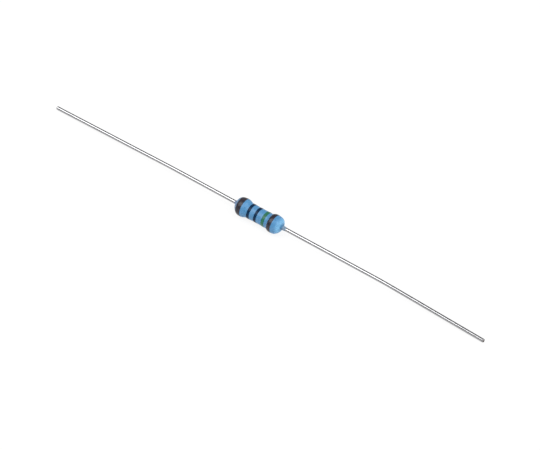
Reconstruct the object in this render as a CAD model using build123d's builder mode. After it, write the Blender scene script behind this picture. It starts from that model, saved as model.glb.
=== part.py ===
"""Axial-lead film resistor: a film-coated ceramic rod between two pressed end caps, each with
a long wire lead welded to it, under a dogbone coat of lacquer with five printed bands.

Millimetres. X is the resistor's own axis and +X points to the end whose dome stays bare. The
origin is on that axis at the middle of the body. The part lies on its two thick ends and on
the tips of its leads, with +Z up.
"""

import os
from math import atan2, degrees

from build123d import *

os.makedirs("parts", exist_ok=True)

# Ceramic rod and the film on it
rod_radius = 0.80
film_thickness = 0.02
film_radius = rod_radius + film_thickness
rod_chamfer = 0.22
trim_cut_width = 0.08
trim_cut_pitch = 0.42
trim_cut_length = 2.10

# Pressed end caps: a press fit on the film, floor against the rod's end
cap_wall = 0.15
cap_outer_radius = film_radius + cap_wall
cap_depth = 1.20
cap_end_x = 3.00
cap_corner_radius = 0.36
cap_floor_x = cap_end_x - cap_wall
rod_length = 2 * cap_floor_x

# Lacquer coat: a straight waist, a slope of two equal arcs up to the flat crown over each cap, a
# shoulder arc and a dome arc, and a hollow arc that ends in a small collar round the wire
waist_radius = 0.972
waist_half_length = 1.36
crown_radius = 1.165
crown_start_x = 2.12
crown_end_x = 2.30
shoulder_arc_radius = 1.50
shoulder_arc_angle = 14.0
dome_arc_radius = 0.85
dome_arc_angle = 71.0
collar_arc_radius = 0.06
collar_arc_angle = 70.0

# Printed bands: name, where each starts and where it ends along the axis
print_thickness = 0.02
bands = [
    ("band_1_brown", -2.83, -2.11),
    ("band_2_black", -1.26, -0.87),
    ("band_3_black", -0.25, 0.14),
    ("band_4_green", 0.86, 1.29),
    ("band_5_brown", 1.78, 2.35),
]

# Leads: tinned copper wire, butt welded to the caps a little off their middle, and bent down so
# that the tips touch the surface that the body lies on
wire_radius = 0.225
weld_radius = 0.34
weld_length = 0.14
weld_offset_y = 0.05
weld_offset_z = 0.04
tip_x = 31.75
tip_edge_radius = 0.06
bend_radius = 40.0
tip_drop = crown_radius + print_thickness - wire_radius
lead_routes = [
    ("lead_left", -1, 13.0, 0.51),
    ("lead_right", 1, 17.9, 0.26),
]


# ---- Ceramic rod ----
# A fired alumina rod with bevelled ends that clear the rounded corners inside the caps.
with BuildPart() as ceramic_rod:
    with BuildSketch(Plane.YZ.offset(-rod_length / 2)):
        Circle(rod_radius)
    extrude(amount=rod_length)
    chamfer(ceramic_rod.edges().filter_by(GeomType.CIRCLE), length=rod_chamfer)
ceramic_rod.part.label = "ceramic_rod"
export_step(ceramic_rod.part, "parts/ceramic_rod.step")


# ---- Resistive film ----
# A metal film over the rod's round face. A laser cuts a helix through it between the caps, which
# leaves one long ribbon and so sets the resistance.
film_length = rod_length - 2 * rod_chamfer
with BuildPart() as resistive_film:
    with BuildSketch(Plane.YZ.offset(-film_length / 2)):
        Circle(film_radius)
        Circle(rod_radius, mode=Mode.SUBTRACT)
    extrude(amount=film_length)
    with BuildLine() as trim_path:
        Helix(
            pitch=trim_cut_pitch,
            height=trim_cut_length,
            radius=rod_radius + film_thickness / 2,
            center=(-trim_cut_length / 2, 0, 0),
            direction=(1, 0, 0),
        )
    trim_start = Plane(origin=trim_path.line @ 0, x_dir=(1, 0, 0), z_dir=trim_path.line % 0)
    with BuildSketch(trim_start):
        Rectangle(trim_cut_width, 3 * film_thickness)
    sweep(path=trim_path.line, is_frenet=True, mode=Mode.SUBTRACT)
resistive_film.part.label = "resistive_film"
export_step(resistive_film.part, "parts/resistive_film.step")


# ---- End caps ----
# Two cups pressed from tin-plated steel strip, pushed over the ends of the filmed rod.
cap_rim_x = cap_end_x - cap_depth
with BuildPart() as end_cap_right:
    with BuildSketch(Plane.YZ.offset(cap_rim_x)):
        Circle(cap_outer_radius)
    extrude(amount=cap_depth)
    fillet(end_cap_right.edges().group_by(Axis.X)[-1], radius=cap_corner_radius)
    with BuildSketch(Plane.YZ.offset(cap_rim_x)):
        Circle(film_radius)
    extrude(amount=cap_floor_x - cap_rim_x, mode=Mode.SUBTRACT)
    inner_corner = end_cap_right.edges().filter_by_position(Axis.X, cap_floor_x, cap_floor_x)
    fillet(inner_corner, radius=cap_corner_radius - cap_wall)
end_cap_right.part.label = "end_cap_right"
export_step(end_cap_right.part, "parts/end_cap_right.step")

with BuildPart() as end_cap_left:
    mirror(end_cap_right.part, about=Plane.YZ)
end_cap_left.part.label = "end_cap_left"
export_step(end_cap_left.part, "parts/end_cap_left.step")


# ---- Leads ----
# Each wire is upset into a small foot where it is welded to its cap. It runs straight, takes one
# long gentle bend and runs straight again to a sheared tip with a rolled edge.
leads = []
for lead_name, side, bend_x, tip_y in lead_routes:
    root = Vector(side * cap_end_x, weld_offset_y, weld_offset_z)
    corner = Vector(side * bend_x, weld_offset_y, weld_offset_z)
    tip = Vector(side * tip_x, tip_y, -tip_drop)
    with BuildPart() as lead:
        with BuildLine() as wire_path:
            FilletPolyline(root, corner, tip, radius=bend_radius)
        with BuildSketch(Plane(origin=root, z_dir=(side, 0, 0))):
            Circle(wire_radius)
        sweep(path=wire_path.line)
        fillet(lead.edges().sort_by(Axis.X)[-1 if side > 0 else 0], radius=tip_edge_radius)
        with BuildSketch(Plane(origin=root, z_dir=(side, 0, 0))):
            Circle(weld_radius)
        with BuildSketch(Plane(origin=root + Vector(side * weld_length, 0, 0), z_dir=(side, 0, 0))):
            Circle(wire_radius)
        loft()
    lead.part.label = lead_name
    export_step(lead.part, f"parts/{lead_name}.step")
    leads.append(lead)


# ---- Lacquer coat ----
# Dipped and cured over everything but the wires: it bridges the step between the caps and the
# rod in one smooth waist, rounds both ends and climbs a short way up each wire in a collar.
slope_run = crown_start_x - waist_half_length
slope_rise = crown_radius - waist_radius
slope_arc_radius = (slope_run**2 + slope_rise**2) / (4 * slope_rise)
slope_arc_angle = degrees(2 * atan2(slope_rise, slope_run))

with BuildSketch(Plane.XZ) as coat_half:
    with BuildLine():
        waist = Line((0, waist_radius), (waist_half_length, waist_radius))
        foot = JernArc(waist @ 1, waist % 1, slope_arc_radius, slope_arc_angle)
        brow = JernArc(foot @ 1, foot % 1, slope_arc_radius, -slope_arc_angle)
        crown = Line(brow @ 1, (crown_end_x, crown_radius))
        shoulder = JernArc(crown @ 1, crown % 1, shoulder_arc_radius, -shoulder_arc_angle)
        dome = JernArc(shoulder @ 1, shoulder % 1, dome_arc_radius, -dome_arc_angle)
        collar = JernArc(dome @ 1, dome % 1, collar_arc_radius, collar_arc_angle)
        collar_end_x = (collar @ 1).X
        Polyline(collar @ 1, (collar_end_x, 0), (0, 0), waist @ 0)
    make_face()
    mirror(about=Plane.YZ)
coat_section = coat_half.sketch

with BuildPart() as lacquer_coat:
    add(coat_section)
    revolve(axis=Axis.X)
    with BuildSketch(Plane.YZ.offset(-rod_length / 2)):
        Circle(film_radius)
    extrude(amount=rod_length, mode=Mode.SUBTRACT)
    add(end_cap_left.part, mode=Mode.SUBTRACT)
    add(end_cap_right.part, mode=Mode.SUBTRACT)
    for lead in leads:
        add(lead.part, mode=Mode.SUBTRACT)
lacquer_coat.part.label = "lacquer_coat"
export_step(lacquer_coat.part, "parts/lacquer_coat.step")


# ---- Colour bands ----
# Five rings of ink rolled on over the coat, each following its slope.
print_section = offset(coat_section, amount=print_thickness, mode=Mode.PRIVATE)
for band_name, start_x, end_x in bands:
    with BuildPart() as band:
        with BuildSketch(Plane.XZ):
            with Locations(((start_x + end_x) / 2, crown_radius)):
                Rectangle(end_x - start_x, crown_radius)
            add(print_section, mode=Mode.INTERSECT)
            add(coat_section, mode=Mode.SUBTRACT)
        revolve(axis=Axis.X)
    band.part.label = band_name
    export_step(band.part, f"parts/{band_name}.step")
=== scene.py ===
import math

import bpy
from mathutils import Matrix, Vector


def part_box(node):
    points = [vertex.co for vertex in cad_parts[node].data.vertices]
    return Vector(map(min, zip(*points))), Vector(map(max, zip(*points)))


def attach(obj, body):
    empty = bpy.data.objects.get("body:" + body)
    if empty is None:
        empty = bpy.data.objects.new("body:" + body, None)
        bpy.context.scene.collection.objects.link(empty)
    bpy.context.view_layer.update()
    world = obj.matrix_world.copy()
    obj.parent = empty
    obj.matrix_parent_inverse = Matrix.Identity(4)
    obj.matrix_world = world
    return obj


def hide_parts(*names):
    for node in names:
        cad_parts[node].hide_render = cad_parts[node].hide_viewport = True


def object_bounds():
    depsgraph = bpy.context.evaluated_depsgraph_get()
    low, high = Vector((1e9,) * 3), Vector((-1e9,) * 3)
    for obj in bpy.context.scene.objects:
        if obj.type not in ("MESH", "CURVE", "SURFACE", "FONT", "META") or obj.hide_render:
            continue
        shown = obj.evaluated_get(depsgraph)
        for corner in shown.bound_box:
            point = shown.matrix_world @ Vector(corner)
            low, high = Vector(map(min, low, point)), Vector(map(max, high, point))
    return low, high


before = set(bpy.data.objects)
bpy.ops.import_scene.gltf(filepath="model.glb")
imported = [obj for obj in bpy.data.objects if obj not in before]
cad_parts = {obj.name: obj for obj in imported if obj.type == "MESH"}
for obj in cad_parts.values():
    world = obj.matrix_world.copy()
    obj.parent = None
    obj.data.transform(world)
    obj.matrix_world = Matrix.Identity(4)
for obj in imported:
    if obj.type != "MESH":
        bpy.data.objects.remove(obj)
cad_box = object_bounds()


# ---- Ceramic rod ----
# The core is a fired alumina rod with bevelled ends. It is hidden by everything that goes over
# it, and keeps the chalky white and the fine pits of fired ceramic.
MM = 0.001
pit_white = (0.66, 0.64, 0.58)
alumina_white = (0.86, 0.85, 0.81)
pit_depth_mm = 0.012


class Field:
    """A socket in a node tree. Arithmetic on it adds Math nodes, so a pattern reads as a formula."""

    def __init__(self, tree, socket):
        self.tree = tree
        self.socket = socket

    def node(self, kind, settings=None, sockets=None, output=0):
        """Adds any other node: its settings first, then the values or links of its sockets."""
        made = self.tree.nodes.new(kind)
        for name, setting in (settings or {}).items():
            setattr(made, name, setting)
        for name, given in (sockets or {}).items():
            if isinstance(given, Field):
                self.tree.links.new(given.socket, made.inputs[name])
            else:
                made.inputs[name].default_value = given
        return Field(self.tree, made.outputs[output])

    def math(self, operation, *operands):
        return self.node("ShaderNodeMath", {"operation": operation}, dict(enumerate(operands)))

    def __add__(self, other):
        return self.math("ADD", self, other)

    def __sub__(self, other):
        return self.math("SUBTRACT", self, other)

    def __rsub__(self, other):
        return self.math("SUBTRACT", other, self)

    def __mul__(self, other):
        return self.math("MULTIPLY", self, other)

    def __truediv__(self, other):
        return self.math("DIVIDE", self, other)

    def __pow__(self, other):
        return self.math("POWER", self, other)

    __radd__ = __add__
    __rmul__ = __mul__

    def clamp(self):
        """This field, kept between 0 and 1."""
        return self.node("ShaderNodeClamp", {}, {"Value": self})

    def ramp(self, start, end):
        """0 where this field is at the start, 1 at the end and past it, and even in between."""
        return ((self - start) / (end - start)).clamp()

    def vector(self, operation, *operands):
        """Vector Math on this field and the operands; a scale goes to its own socket."""
        sockets = {"Scale": operands[0]} if operation == "SCALE" else dict(enumerate(operands, 1))
        return self.node("ShaderNodeVectorMath", {"operation": operation}, {0: self, **sockets})

    def measure(self, operation, *operands):
        """Vector Math that gives a number, such as a length or a dot product."""
        sockets = dict(enumerate((self, *operands)))
        return self.node("ShaderNodeVectorMath", {"operation": operation}, sockets, output=1)

    def part(self, index):
        """The X, Y or Z part of this vector, by its number."""
        return self.node("ShaderNodeSeparateXYZ", {}, {0: self}, output=index)

    def blend(self, first, second):
        """Two colours, mixed by this field: 0 gives the first and 1 the second."""
        sockets = {0: self, 6: as_colour(first), 7: as_colour(second)}
        return self.node("ShaderNodeMix", {"data_type": "RGBA"}, sockets, output=2)

    def noise(self, scale, detail=2.0):
        """Noise about 0.5, read at this field taken as a place in millimetres."""
        sockets = {"Vector": self, "Scale": scale, "Detail": detail}
        return self.node("ShaderNodeTexNoise", {}, sockets)

    def bump(self, height_mm):
        """A normal that stands the surface out by this field times a height in millimetres."""
        return self.node("ShaderNodeBump", {}, {"Height": self, "Distance": height_mm * MM})


def as_colour(value):
    return value if isinstance(value, Field) else (*value, 1.0)


class Finish:
    """A material with one Principled shader. Its constants are set on the shader's own sockets."""

    def __init__(self, name, **constants):
        self.material = bpy.data.materials.new(name)
        self.material.use_nodes = True
        tree = self.material.node_tree
        self.shader = tree.nodes["Principled BSDF"]
        for socket, value in constants.items():
            self.shader.inputs[socket.replace("_", " ")].default_value = value
        coordinates = tree.nodes.new("ShaderNodeTexCoord")
        self.place = Field(tree, coordinates.outputs["Object"]).vector("SCALE", 1 / MM)

    def feed(self, socket, field):
        self.material.node_tree.links.new(field.socket, self.shader.inputs[socket])

    def stretched(self, along, across):
        """The place in millimetres with X and the other two axes scaled apart, for drawn marks."""
        return self.place.vector("MULTIPLY", (along, across, across))


def coat_node(node, finish):
    """Gives a CAD node its finish and leaves its shape alone."""
    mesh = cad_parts[node].data
    mesh.materials.clear()
    mesh.materials.append(finish.material)


alumina = Finish("fired_alumina", Metallic=0.0, IOR=1.75)
pits = alumina.place.noise(9.0, detail=4.0)
alumina.feed("Base Color", pits.blend(pit_white, alumina_white))
alumina.feed("Roughness", 0.62 + 0.3 * pits)
alumina.feed("Normal", pits.bump(pit_depth_mm))
coat_node("ceramic_rod", alumina)


# ---- Resistive film ----
# A dull grey-brown nickel chromium film lies on the rod. The laser has cut a helix through it,
# and the heat has left faint rings of tarnish.
tarnished_film = (0.30, 0.27, 0.24)
clean_film = (0.48, 0.46, 0.44)
film_grain_mm = 0.002

resistive_alloy = Finish("resistive_alloy", Metallic=1.0)
tarnish = resistive_alloy.stretched(2.4, 0.5).noise(1.3, detail=3.0)
resistive_alloy.feed("Base Color", tarnish.blend(tarnished_film, clean_film))
resistive_alloy.feed("Roughness", 0.30 + 0.25 * tarnish)
resistive_alloy.feed("Normal", resistive_alloy.place.noise(24.0).bump(film_grain_mm))
coat_node("resistive_film", resistive_alloy)


# ---- End caps ----
# Each cap is a cup pressed from tin-plated steel and pushed over the end of the filmed rod. The
# draw marks run along its wall.
drawn_steel = (0.50, 0.50, 0.49)
bright_steel = (0.70, 0.70, 0.69)
draw_mark_depth_mm = 0.004

plated_steel = Finish("plated_steel", Metallic=1.0)
draw_marks = plated_steel.stretched(0.5, 9.0).noise(2.0, detail=3.0)
plated_steel.feed("Base Color", draw_marks.blend(drawn_steel, bright_steel))
plated_steel.feed("Roughness", 0.24 + 0.22 * draw_marks)
plated_steel.feed("Normal", draw_marks.bump(draw_mark_depth_mm))
for cap in ("end_cap_left", "end_cap_right"):
    coat_node(cap, plated_steel)


# ---- Wire leads ----
# Copper wire, drawn, tinned and butt welded to the cap's floor a little off its middle. It leaves
# the body straight, takes one long gentle bend, and ends where it was sheared from the reel.
wire_radius = 0.225 * MM
wire_root = (3.00 * MM, 0.05 * MM, 0.04 * MM)
wire_bend_radius = 40.0 * MM
wire_bend_steps = 8
wire_sides = 32
wire_ring_step = 0.045 * MM
wire_swell = 0.02
swell_scale = 0.9
tip_rounding = 0.07 * MM
tip_narrowing = 0.45
shear_reach = 0.30 * MM
dull_tin = (0.36, 0.36, 0.37)
bright_tin = (0.46, 0.46, 0.47)
tin_edge_tint = (0.25, 0.25, 0.26, 1.0)
cut_copper = (0.09, 0.06, 0.05)
cut_copper_from, cut_copper_to = 31.66, 31.69
draw_streak_depth_mm = 0.002
# Each lead: which side it is on, where it bends, and how far its cut slants
leads = {"lead_left": (-1, 13.0 * MM, 0.45), "lead_right": (1, 17.9 * MM, -0.20)}


class Tree:
    """A Geometry Nodes tree with named inputs, whose result is handed out as a plain mesh."""

    def __init__(self, name, inputs):
        self.group = bpy.data.node_groups.new(name, "GeometryNodeTree")
        self.names = {}
        self.add_socket("Geometry", "INPUT", "NodeSocketGeometry")
        for label, kind in inputs.items():
            self.names[label] = self.add_socket(label, "INPUT", kind).identifier
        self.add_socket("Geometry", "OUTPUT", "NodeSocketGeometry")
        self.inputs = self.group.nodes.new("NodeGroupInput").outputs
        self.start = Field(self.group, self.inputs["Geometry"])

    def add_socket(self, label, side, kind):
        return self.group.interface.new_socket(label, in_out=side, socket_type=kind)

    def value(self, label):
        return Field(self.group, self.inputs[label])

    def end(self, geometry):
        """Smooths and paints the result and hands it out as real geometry."""
        smooth = geometry.node("GeometryNodeSetShadeSmooth", {}, {"Geometry": geometry})
        real = smooth.node("GeometryNodeRealizeInstances", {}, {"Geometry": smooth})
        sockets = {"Geometry": real, "Material": self.value("Material")}
        painted = real.node("GeometryNodeSetMaterial", {}, sockets)
        out = self.group.nodes.new("NodeGroupOutput")
        self.group.links.new(painted.socket, out.inputs["Geometry"])

    def make(self, piece_name, source, **values):
        """Runs the tree on a source object, drops the source and returns a plain mesh object."""
        modifier = source.modifiers.new(self.group.name, "NODES")
        modifier.node_group = self.group
        for label, identifier in self.names.items():
            modifier[identifier] = values[label.replace(" ", "_").lower()]
        bpy.context.view_layer.update()
        evaluated = source.evaluated_get(bpy.context.evaluated_depsgraph_get())
        mesh = bpy.data.meshes.new_from_object(evaluated)
        bpy.data.objects.remove(source)
        mesh.name = piece_name
        piece = bpy.data.objects.new(piece_name, mesh)
        bpy.context.scene.collection.objects.link(piece)
        return piece


def line_object(name, points, closed=False):
    """A curve object of one straight-sided spline through the points."""
    curve = bpy.data.curves.new(name, "CURVE")
    curve.dimensions = "3D"
    spline = curve.splines.new("POLY")
    spline.points.add(len(points) - 1)
    for spline_point, point in zip(spline.points, points):
        spline_point.co = (*point, 1.0)
    spline.use_cyclic_u = closed
    path = bpy.data.objects.new(name, curve)
    bpy.context.scene.collection.objects.link(path)
    return path


def lead_path(side, bend_x, tip):
    """Root, straight, one arc tangent to both straights, straight, tip."""
    root = Vector((side * wire_root[0], *wire_root[1:]))
    corner = Vector((side * bend_x, *wire_root[1:]))
    along = (corner - root).normalized()
    outward = (tip - corner).normalized()
    turn = along.angle(outward)
    centre_way = (outward - along).normalized()
    middle_way = (outward + along).normalized()
    centre = corner + centre_way * (wire_bend_radius / math.cos(turn / 2))
    arc = []
    for step in range(wire_bend_steps + 1):
        swing = turn * (step / wire_bend_steps - 0.5)
        from_centre = middle_way * math.sin(swing) - centre_way * math.cos(swing)
        arc.append(centre + wire_bend_radius * from_centre)
    return [root, *arc, tip]


drawn_wire = Tree("drawn_wire", {
    "Wire Radius": "NodeSocketFloat",
    "Ring Step": "NodeSocketFloat",
    "Sides": "NodeSocketInt",
    "Swell": "NodeSocketFloat",
    "Tip Rounding": "NodeSocketFloat",
    "Shear": "NodeSocketFloat",
    "Shear Reach": "NodeSocketFloat",
    "Tip": "NodeSocketVector",
    "Seed": "NodeSocketFloat",
    "Material": "NodeSocketMaterial",
})
evenly = {"Curve": drawn_wire.start, "Length": drawn_wire.value("Ring Step")}
rings = drawn_wire.start.node("GeometryNodeResampleCurve", {"mode": "LENGTH"}, evenly)
from_root = rings.node("GeometryNodeSplineParameter", output=1)
to_tip = rings.node("GeometryNodeSplineLength") - from_root
swell_at = {0: from_root / MM, 1: drawn_wire.value("Seed")}
swell_place = rings.node("ShaderNodeCombineXYZ", {}, swell_at)
swell = 1.0 + drawn_wire.value("Swell") * (swell_place.noise(swell_scale) - 1.0)
rim = (1.0 - to_tip / drawn_wire.value("Tip Rounding")).clamp()
rounded = (1.0 - tip_narrowing * rim * rim) * swell * drawn_wire.value("Wire Radius")
rings = rings.node("GeometryNodeSetCurveRadius", {}, {"Curve": rings, "Radius": rounded})
hoop_size = {"Resolution": drawn_wire.value("Sides"), "Radius": 1.0}
hoop = rings.node("GeometryNodeCurvePrimitiveCircle", {}, hoop_size)
swept = {
    "Curve": rings,
    "Profile Curve": hoop,
    "Scale": rings.node("GeometryNodeInputRadius"),
    "Fill Caps": True,
}
wire_mesh = rings.node("GeometryNodeCurveToMesh", {}, swept)
from_tip = wire_mesh.node("GeometryNodeInputPosition").vector("SUBTRACT", drawn_wire.value("Tip"))
cut = (1.0 - from_tip.measure("LENGTH") / drawn_wire.value("Shear Reach")).clamp()
lean = cut * from_tip.part(2) * drawn_wire.value("Shear")
lean_along = from_tip.node("ShaderNodeCombineXYZ", {}, {0: lean})
sheared = {"Geometry": wire_mesh, "Offset": lean_along}
drawn_wire.end(wire_mesh.node("GeometryNodeSetPosition", {}, sheared))

tinned_copper = Finish("tinned_copper", Metallic=1.0, Specular_Tint=tin_edge_tint)
draw_streaks = tinned_copper.stretched(0.35, 12.0).noise(1.6, detail=3.0)
tin_blush = tinned_copper.stretched(0.6, 1.5).noise(1.2, detail=3.0)
tin_colour = (0.7 * tin_blush + 0.3 * draw_streaks).blend(dull_tin, bright_tin)
bare_end = tinned_copper.place.part(0).ramp(cut_copper_from, cut_copper_to)
tinned_copper.feed("Base Color", bare_end.blend(tin_colour, cut_copper))
tinned_copper.feed("Roughness", 0.15 + 0.10 * tin_blush)
tinned_copper.feed("Normal", draw_streaks.bump(draw_streak_depth_mm))

for seed, (lead, (side, bend_x, shear_slant)) in enumerate(leads.items()):
    low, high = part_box(lead)
    tip_x = high[0] if side > 0 else low[0]
    cut_x = tip_x - side * abs(shear_slant) * wire_radius
    tip = Vector((cut_x, high[1] - wire_radius, low[2] + wire_radius))
    wire = drawn_wire.make(
        "wire_" + lead.split("_")[1], line_object(lead + "_path", lead_path(side, bend_x, tip)),
        wire_radius=wire_radius, ring_step=wire_ring_step, sides=wire_sides, swell=wire_swell,
        tip_rounding=tip_rounding, shear=side * shear_slant, shear_reach=shear_reach, tip=tip,
        seed=float(seed), material=tinned_copper.material,
    )
    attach(wire, "root")
    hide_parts(lead)


# ---- Lacquer coat ----
# Blue epoxy lacquer, dipped and cured: one skin over the caps and the filmed rod that necks in
# between the caps and rounds off both ends. It pools round each wire's root and has crept a
# little way out along the wire, further at the left end, where it has dried greyer.
# Painted shade darkens the coat's colour in a ring round the right wire's root.
# The right dome's colour carries painted light: it is made paler in patches, as if lit more strongly
# there.
waist_radius = 0.974 * MM
waist_sag = 0.022 * MM
waist_half_length = 1.36 * MM
crown_radius = 1.165 * MM
crown_start_x = 2.12 * MM
crown_end_x = 2.30 * MM
# Each arc: its radius, and its turn in degrees
shoulder_arc = (1.50 * MM, -14.0)
dome_arc = (0.85 * MM, -72.0)
collar_arc = (0.05 * MM, 79.0)
left_sleeve_end_x = 3.92 * MM
right_sleeve_end_x = 3.62 * MM
sleeve_thickness = 0.040 * MM
sleeve_steps = 8
sleeve_lip_sharpness = 6
film_radius = 0.82 * MM
cap_radius = 0.97 * MM
cap_rim_x = 1.80 * MM
cap_corner_radius = 0.36 * MM
cap_corner_steps = 8
weld_radius = 0.34 * MM
weld_length = 0.14 * MM
coat_point_gap = 0.035 * MM
fewest_arc_steps = 5
coat_turns = 144
lump_height = 0.010 * MM
lump_scale = 0.9
# Lumps sink below the outline by more than they rise, and only on the coat's outside
lump_sink = 0.8
outside_sharpness = 4.0
# The section is swept round a circle of this radius and is drawn that much nearer the axis
lathe_radius = 1.0 * MM
# The dome moves over to the wire's own axis between these two places
drift_start = 2.55 * MM
drift_end = 3.12 * MM
deep_blue = (0.040, 0.185, 0.365)
pale_blue = (0.105, 0.270, 0.490)
# Painted light: a paler blue laid in patches over the right dome, standing in for the stronger light
# falling on it
painted_dome_light_blue = (0.200, 0.480, 0.720)
# Painted shade: a darker blue round the right wire's root, standing in for the shade and dark
# reflection where the wire enters the dome
painted_root_shade_blue = (0.060, 0.190, 0.350)
right_sleeve_blue = (0.160, 0.230, 0.310)
thin_blue = (0.15, 0.235, 0.37)
left_sleeve_blue = (0.19, 0.22, 0.33)
# Where each change of colour starts and ends, in millimetres along the axis
# Painted light: where the right dome is painted paler, as if lit more strongly
painted_dome_light_zone = (2.80, 3.15)
# Painted shade: where the coat is darkened round the right wire's root
painted_root_shade_zone = (3.245, 3.305)
right_sleeve_zone = (3.38, 3.58)
thin_zone = (-2.80, -2.94)
left_sleeve_zone = (-3.24, -3.60)
peel_height_mm = 0.010


def arc_on(points, heading, radius, degrees):
    """Adds an arc that carries on from the last point, and gives the heading at its end."""
    turn = math.radians(degrees)
    steps = max(fewest_arc_steps, round(radius * abs(turn) / coat_point_gap))
    chord = 2 * radius * math.sin(abs(turn) / steps / 2)
    for step in range(steps):
        heading += turn / steps / 2
        x, r = points[-1]
        points.append((x + chord * math.cos(heading), r + chord * math.sin(heading)))
        heading += turn / steps / 2
    return heading


def coat_edge():
    """The outside of the coat from the waist's middle to the collar, as (x, radius) points: a waist
    that sags a little, two equal arcs up to the flat crown, two arcs round the dome, a hollow one."""
    slope_run = crown_start_x - waist_half_length
    slope_rise = crown_radius - waist_radius
    slope_radius = (slope_run ** 2 + slope_rise ** 2) / (4 * slope_rise)
    slope_angle = math.degrees(2 * math.atan2(slope_rise, slope_run))
    steps = round(waist_half_length / coat_point_gap)
    points = []
    for step in range(steps + 1):
        sag = waist_sag * (1 + math.cos(math.pi * step / steps)) / 2
        points.append((waist_half_length * step / steps, waist_radius - sag))
    heading = arc_on(points, 0.0, slope_radius, slope_angle)
    arc_on(points, heading, slope_radius, -slope_angle)
    crown_length = crown_end_x - crown_start_x
    crown_steps = round(crown_length / coat_point_gap)
    for step in range(1, crown_steps + 1):
        points.append((crown_start_x + crown_length * step / crown_steps, crown_radius))
    heading = 0.0
    for arc in (shoulder_arc, dome_arc, collar_arc):
        heading = arc_on(points, heading, *arc)
    return points


def with_sleeve(half, end_x):
    """Carries half an outline on from its collar: a thinning sleeve of lacquer along the wire."""
    collar_x, collar_radius = half[-1]
    collar_rise = collar_radius - wire_radius - sleeve_thickness
    sleeve = []
    for step in range(1, sleeve_steps + 1):
        share = step / sleeve_steps
        thickness = sleeve_thickness * (1 - share ** sleeve_lip_sharpness)
        thickness += collar_rise * (1 - share) ** 2
        sleeve.append((collar_x + (end_x - collar_x) * share, wire_radius + thickness))
    return half + sleeve


def coat_bore():
    """The inside of the coat from the weld's foot back to the film between the caps."""
    corner_x = wire_root[0] - cap_corner_radius
    corner_r = cap_radius - cap_corner_radius
    corner = []
    for step in range(cap_corner_steps + 1):
        angle = math.pi / 2 * step / cap_corner_steps
        corner.append((
            corner_x + cap_corner_radius * math.cos(angle),
            corner_r + cap_corner_radius * math.sin(angle),
        ))
    return [
        (wire_root[0] + weld_length, wire_radius),
        (wire_root[0], weld_radius),
        *corner,
        (cap_rim_x, cap_radius),
        (cap_rim_x, film_radius),
        (0.0, film_radius),
    ]


right_half = with_sleeve(coat_edge(), right_sleeve_end_x) + coat_bore()
left_half = with_sleeve(coat_edge(), left_sleeve_end_x) + coat_bore()
mirrored_half = [(-x, r) for x, r in reversed(left_half[1:-1])]
coat_section = [(r - lathe_radius, x, 0.0) for x, r in right_half + mirrored_half]

dipped_coat = Tree("dipped_coat", {
    "Turns": "NodeSocketInt",
    "Lathe Radius": "NodeSocketFloat",
    "Lump Height": "NodeSocketFloat",
    "Wire Root": "NodeSocketVector",
    "Material": "NodeSocketMaterial",
})
# Keeps the parts of a vector that lead away from the axis
across_axis = (0, 1, 1)
quarter_turn = (0.0, math.pi / 2, 0.0)
lathe_size = {"Resolution": dipped_coat.value("Turns"), "Radius": dipped_coat.value("Lathe Radius")}
lathe_circle = dipped_coat.start.node("GeometryNodeCurvePrimitiveCircle", {}, lathe_size)
turned = {"Curve": lathe_circle, "Profile Curve": dipped_coat.start}
skin = lathe_circle.node("GeometryNodeCurveToMesh", {}, turned)
skin = skin.node("GeometryNodeTransform", {}, {"Geometry": skin, "Rotation": quarter_turn})
skin_place = skin.node("GeometryNodeInputPosition")
skin_normal = skin.node("GeometryNodeInputNormal")
off_axis = skin_place.vector("MULTIPLY", across_axis).vector("NORMALIZE")
on_outside = (off_axis.measure("DOT_PRODUCT", skin_normal) * outside_sharpness).clamp()
lumps = skin_place.vector("SCALE", 1 / MM).noise(lump_scale, detail=1.0) - 0.5
lump_push = on_outside * (2.0 * lumps - lump_sink) * dipped_coat.value("Lump Height")
lumped = {"Geometry": skin, "Offset": skin_normal.vector("SCALE", lump_push)}
skin = skin.node("GeometryNodeSetPosition", {}, lumped)
along = skin_place.part(0)
reach = along.math("ABSOLUTE", along).ramp(drift_start, drift_end)
eased_reach = reach * reach * (3.0 - 2.0 * reach)
root_shift = dipped_coat.value("Wire Root").vector("MULTIPLY", across_axis)
drifted = {"Geometry": skin, "Offset": root_shift.vector("SCALE", eased_reach)}
dipped_coat.end(skin.node("GeometryNodeSetPosition", {}, drifted))

blue_lacquer = Finish("blue_lacquer", Specular_IOR_Level=0.35)
mottle = blue_lacquer.place.noise(2.2, detail=3.0)
fleck = blue_lacquer.place.noise(11.0, detail=2.0)
cloud = (1.6 * (0.65 * mottle + 0.35 * fleck) - 0.3).clamp()
coat_x = blue_lacquer.place.part(0)
coat_colour = cloud.blend(deep_blue, pale_blue)
# Painted light: the right dome is made paler in patches by its colour, not by a lamp
coat_colour = (coat_x.ramp(*painted_dome_light_zone) * cloud).blend(coat_colour, painted_dome_light_blue)
# Painted shade: the coat's colour is darkened round the right wire's root
coat_colour = coat_x.ramp(*painted_root_shade_zone).blend(coat_colour, painted_root_shade_blue)
coat_colour = coat_x.ramp(*right_sleeve_zone).blend(coat_colour, right_sleeve_blue)
thin_colour = coat_x.ramp(*left_sleeve_zone).blend(thin_blue, left_sleeve_blue)
coat_colour = coat_x.ramp(*thin_zone).blend(coat_colour, thin_colour)
blue_lacquer.feed("Base Color", coat_colour)
blue_lacquer.feed("Roughness", 0.30 + 0.16 * mottle)
blue_lacquer.feed("Normal", blue_lacquer.place.noise(7.0, detail=2.0).bump(peel_height_mm))

coat = dipped_coat.make(
    "lacquer_skin", line_object("coat_section", coat_section, closed=True),
    turns=coat_turns, lathe_radius=lathe_radius, lump_height=lump_height, wire_root=wire_root,
    material=blue_lacquer.material,
)
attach(coat, "root")
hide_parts("lacquer_coat")


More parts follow.
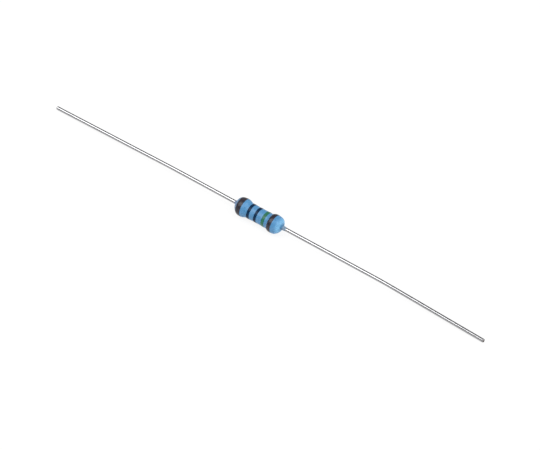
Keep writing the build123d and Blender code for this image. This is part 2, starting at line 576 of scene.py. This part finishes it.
# ---- Colour bands ----
# Five rings of thick ink, rolled on over the cured lacquer. Each follows the coat's slope, and its
# edges waver a little where the roller let go.
ink_height = 0.016 * MM
ink_depth = 0.010 * MM
ink_edge_bluntness = 0.4
ink_grain_mm = 0.008
ink_roughness = 0.24
band_waver = 0.022 * MM
waver_scale = 1.7
last_edge_shift = (5.0, 0, 0)
band_sides = 144
band_ring_points = 20
bands = {
    "band_1_brown": (-2.83 * MM, -2.11 * MM),
    "band_2_black": (-1.26 * MM, -0.87 * MM),
    "band_3_black": (-0.25 * MM, 0.14 * MM),
    "band_4_green": (0.86 * MM, 1.29 * MM),
    "band_5_brown": (1.78 * MM, 2.35 * MM),
}
# Each ink: its colour where it lies thin, its colour where it lies thick, and its shine
ink_looks = {
    "brown": ((0.048, 0.032, 0.034), (0.004, 0.010, 0.024), 0.34),
    "black": ((0.001, 0.028, 0.076), (0.000, 0.009, 0.036), 0.14),
    "green": ((0.036, 0.172, 0.108), (0.003, 0.098, 0.044), 0.33),
}
# A band starts as a blank, a plain torus round the axis, whose points are then laid on the coat.
# Its two radii and the reach of the search for the coat are in millimetres
blank_radius = 3.0
blank_thickness = 1.0
landing_reach = 4.0

rolled_band = Tree("rolled_band", {
    "Coat": "NodeSocketObject",
    "Start": "NodeSocketFloat",
    "End": "NodeSocketFloat",
    "Ink Height": "NodeSocketFloat",
    "Ink Depth": "NodeSocketFloat",
    "Waver": "NodeSocketFloat",
    "Seed": "NodeSocketFloat",
    "Material": "NodeSocketMaterial",
})
blank_size = {"Resolution": band_sides, "Radius": blank_radius * MM}
blank_circle = rolled_band.start.node("GeometryNodeCurvePrimitiveCircle", {}, blank_size)
section_size = {"Resolution": band_ring_points, "Radius": blank_thickness * MM}
blank_section = blank_circle.node("GeometryNodeCurvePrimitiveCircle", {}, section_size)
swept_blank = {"Curve": blank_circle, "Profile Curve": blank_section}
blank = blank_circle.node("GeometryNodeCurveToMesh", {}, swept_blank)
blank = blank.node("GeometryNodeTransform", {}, {"Geometry": blank, "Rotation": quarter_turn})
blank_place = blank.node("GeometryNodeInputPosition").vector("SCALE", 1 / MM)
blank_out = blank_place.vector("MULTIPLY", across_axis)
spoke = blank_out.vector("NORMALIZE")
over = (blank_out.measure("LENGTH") - blank_radius) / blank_thickness
share = 0.5 + 0.5 * blank_place.part(0) / blank_thickness
seed_shift = blank_place.node("ShaderNodeCombineXYZ", {}, {0: rolled_band.value("Seed")})
waver_place = spoke.vector("ADD", seed_shift)
first_waver = waver_place.noise(waver_scale, detail=3.0) - 0.5
last_waver = waver_place.vector("ADD", last_edge_shift).noise(waver_scale, detail=3.0) - 0.5
first_edge = rolled_band.value("Start") + 2.0 * first_waver * rolled_band.value("Waver")
last_edge = rolled_band.value("End") + 2.0 * last_waver * rolled_band.value("Waver")
band_x = first_edge * (1.0 - share) + last_edge * share
above = over.math("MAXIMUM", over, 0.0) ** ink_edge_bluntness * rolled_band.value("Ink Height")
below = over.math("MAXIMUM", 0.0 - over, 0.0) ** ink_edge_bluntness * rolled_band.value("Ink Depth")
beside_coat = spoke.node("ShaderNodeCombineXYZ", {}, {0: band_x})
far_out = spoke.vector("SCALE", blank_radius * MM).vector("ADD", beside_coat)
whole_coat = {"Object": rolled_band.value("Coat")}
landing = {
    "Target Geometry": blank.node("GeometryNodeObjectInfo", {}, whole_coat, output=4),
    "Source Position": far_out,
    "Ray Direction": spoke.vector("SCALE", -1.0),
    "Ray Length": landing_reach * MM,
}
touch = blank.node("GeometryNodeRaycast", {}, landing, output=1)
coat_normal = Field(touch.tree, touch.socket.node.outputs["Hit Normal"])
printed = touch.vector("ADD", coat_normal.vector("SCALE", above - below))
rolled_band.end(blank.node("GeometryNodeSetPosition", {}, {"Geometry": blank, "Position": printed}))


def ink(name, thin, thick, shine):
    """Glossy ink, laid down in faint streaks round the body and thinner in patches."""
    finish = Finish(name, Specular_IOR_Level=shine)
    streaks = finish.stretched(9.0, 1.1).noise(1.4, detail=3.0)
    patches = finish.place.noise(2.6, detail=2.0)
    cover = (2.0 * (streaks + patches) - 1.5).clamp()
    finish.feed("Base Color", cover.blend(thick, thin))
    finish.feed("Roughness", ink_roughness + 0.2 * patches)
    finish.feed("Normal", (0.6 * streaks + 0.4 * finish.place.noise(9.0)).bump(ink_grain_mm))
    return finish


inks = {colour: ink(colour + "_ink", *look) for colour, look in ink_looks.items()}
for seed, (band, (band_start, band_end)) in enumerate(bands.items()):
    colour = band.split("_")[2]
    blank_source = line_object(band + "_blank", [(0, 0, 0), (MM, 0, 0)])
    ink_ring = rolled_band.make(
        band.replace("band", "ink_ring"), blank_source, coat=coat, start=band_start, end=band_end,
        ink_height=ink_height, ink_depth=ink_depth, waver=band_waver, seed=3.0 * seed,
        material=inks[colour].material,
    )
    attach(ink_ring, "root")
    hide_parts(band)
    colour + "_ink"


# ---- Table ----
# A white matt table top that the part lies on. It is shown near to white, and the part's soft
# shadow stays on it.
table_top_z = cad_box[0][2]
table_half_width = 3.0
table_whiteness = 0.88
matt_white = (0.95, 0.95, 0.95, 1)
white = (1, 1, 1, 1)

table_mesh = bpy.data.meshes.new("table")
corner_sides = ((-1, -1), (1, -1), (1, 1), (-1, 1))
corners = [(x * table_half_width, y * table_half_width, table_top_z) for x, y in corner_sides]
table_mesh.from_pydata(corners, [], [(0, 1, 2, 3)])
table = bpy.data.objects.new("table", table_mesh)
bpy.context.scene.collection.objects.link(table)
table_paint = bpy.data.materials.new("table_paint")
table_paint.use_nodes = True
paint_tree = table_paint.node_tree
paint_tree.nodes.clear()
light_path = paint_tree.nodes.new("ShaderNodeLightPath").outputs
seen = Field(paint_tree, light_path["Is Camera Ray"]) + Field(paint_tree, light_path["Is Glossy Ray"])
seen = (seen + Field(paint_tree, light_path["Is Transmission Ray"])).clamp()
matt = seen.node("ShaderNodeBsdfDiffuse", {}, {"Color": matt_white})
glow = seen.node("ShaderNodeEmission", {}, {"Color": white, "Strength": 1.0})
paint = seen.node("ShaderNodeMixShader", {}, {0: seen * table_whiteness, 1: matt, 2: glow})
table_surface = paint_tree.nodes.new("ShaderNodeOutputMaterial")
paint_tree.links.new(paint.socket, table_surface.inputs["Surface"])
table_mesh.materials.append(table_paint)


# ---- Camera ----
# A long lens well away from the part, looking down on it from the front right, so that both
# leads are seen at full length and the dome at the right end faces the viewer.
camera_lens_mm = 166.91
camera_sensor_mm = 36.0
camera_azimuth = math.radians(36.58)
camera_elevation = math.radians(46.97)
camera_distance = 297.0 * MM
aim_to_right = 1.273 * MM
aim_up = -1.113 * MM
nearest_seen = 0.01
farthest_seen = 10.0

camera_data = bpy.data.cameras.new("camera")
camera_data.lens = camera_lens_mm
camera_data.sensor_width = camera_sensor_mm
camera_data.clip_start = nearest_seen
camera_data.clip_end = farthest_seen
camera = bpy.data.objects.new("camera", camera_data)
bpy.context.scene.collection.objects.link(camera)
bpy.context.scene.camera = camera


def way_to(azimuth, elevation):
    """The direction from the part towards a place round it and above it."""
    level = math.cos(elevation)
    return Vector((math.sin(azimuth) * level, -math.cos(azimuth) * level, math.sin(elevation)))


camera_way = way_to(camera_azimuth, camera_elevation)
right = Vector((math.cos(camera_azimuth), math.sin(camera_azimuth), 0))
up = camera_way.cross(right)
camera.location = right * aim_to_right + up * aim_up + camera_way * camera_distance
camera.rotation_mode = "QUATERNION"
camera.rotation_quaternion = camera_way.to_track_quat("Z", "Y")


# ---- Lamps ----
# A dim white room, which the camera itself sees as white; a strong softbox high on the camera's
# left, for the bright line along the lacquer and the wires; and a wider, weaker one on its right.
room_level = 0.28
lamp_distance = 0.6
# Each softbox: its azimuth, its elevation and half the angle that it fills, in degrees, and then
# its radiance
lamps = {
    "stripe_softbox": (-54.0, 57.0, 22.0, 4.3),
    "side_softbox": (98.0, 42.0, 38.0, 2.3),
}

world = bpy.data.worlds.new("studio")
bpy.context.scene.world = world
world.use_nodes = True
world_tree = world.node_tree
room = world_tree.nodes["Background"]
room.inputs["Color"].default_value = white
camera_ray = Field(world_tree, world_tree.nodes.new("ShaderNodeLightPath").outputs["Is Camera Ray"])
backdrop = room_level + (1 - room_level) * camera_ray
world_tree.links.new(backdrop.socket, room.inputs["Strength"])

for lamp_name, (lamp_azimuth, lamp_elevation, half_angle, radiance) in lamps.items():
    lamp_data = bpy.data.lights.new(lamp_name, "AREA")
    lamp_data.shape = "DISK"
    lamp_data.size = 2 * lamp_distance * math.tan(math.radians(half_angle))
    lamp_data.energy = radiance * math.pi * math.pi * (lamp_data.size / 2) ** 2
    lamp = bpy.data.objects.new(lamp_name, lamp_data)
    bpy.context.scene.collection.objects.link(lamp)
    lamp_way = way_to(math.radians(lamp_azimuth), math.radians(lamp_elevation))
    lamp.location = lamp_way * lamp_distance
    lamp.rotation_mode = "QUATERNION"
    lamp.rotation_quaternion = lamp_way.to_track_quat("Z", "Y")

bpy.context.scene.view_settings.view_transform = "Standard"
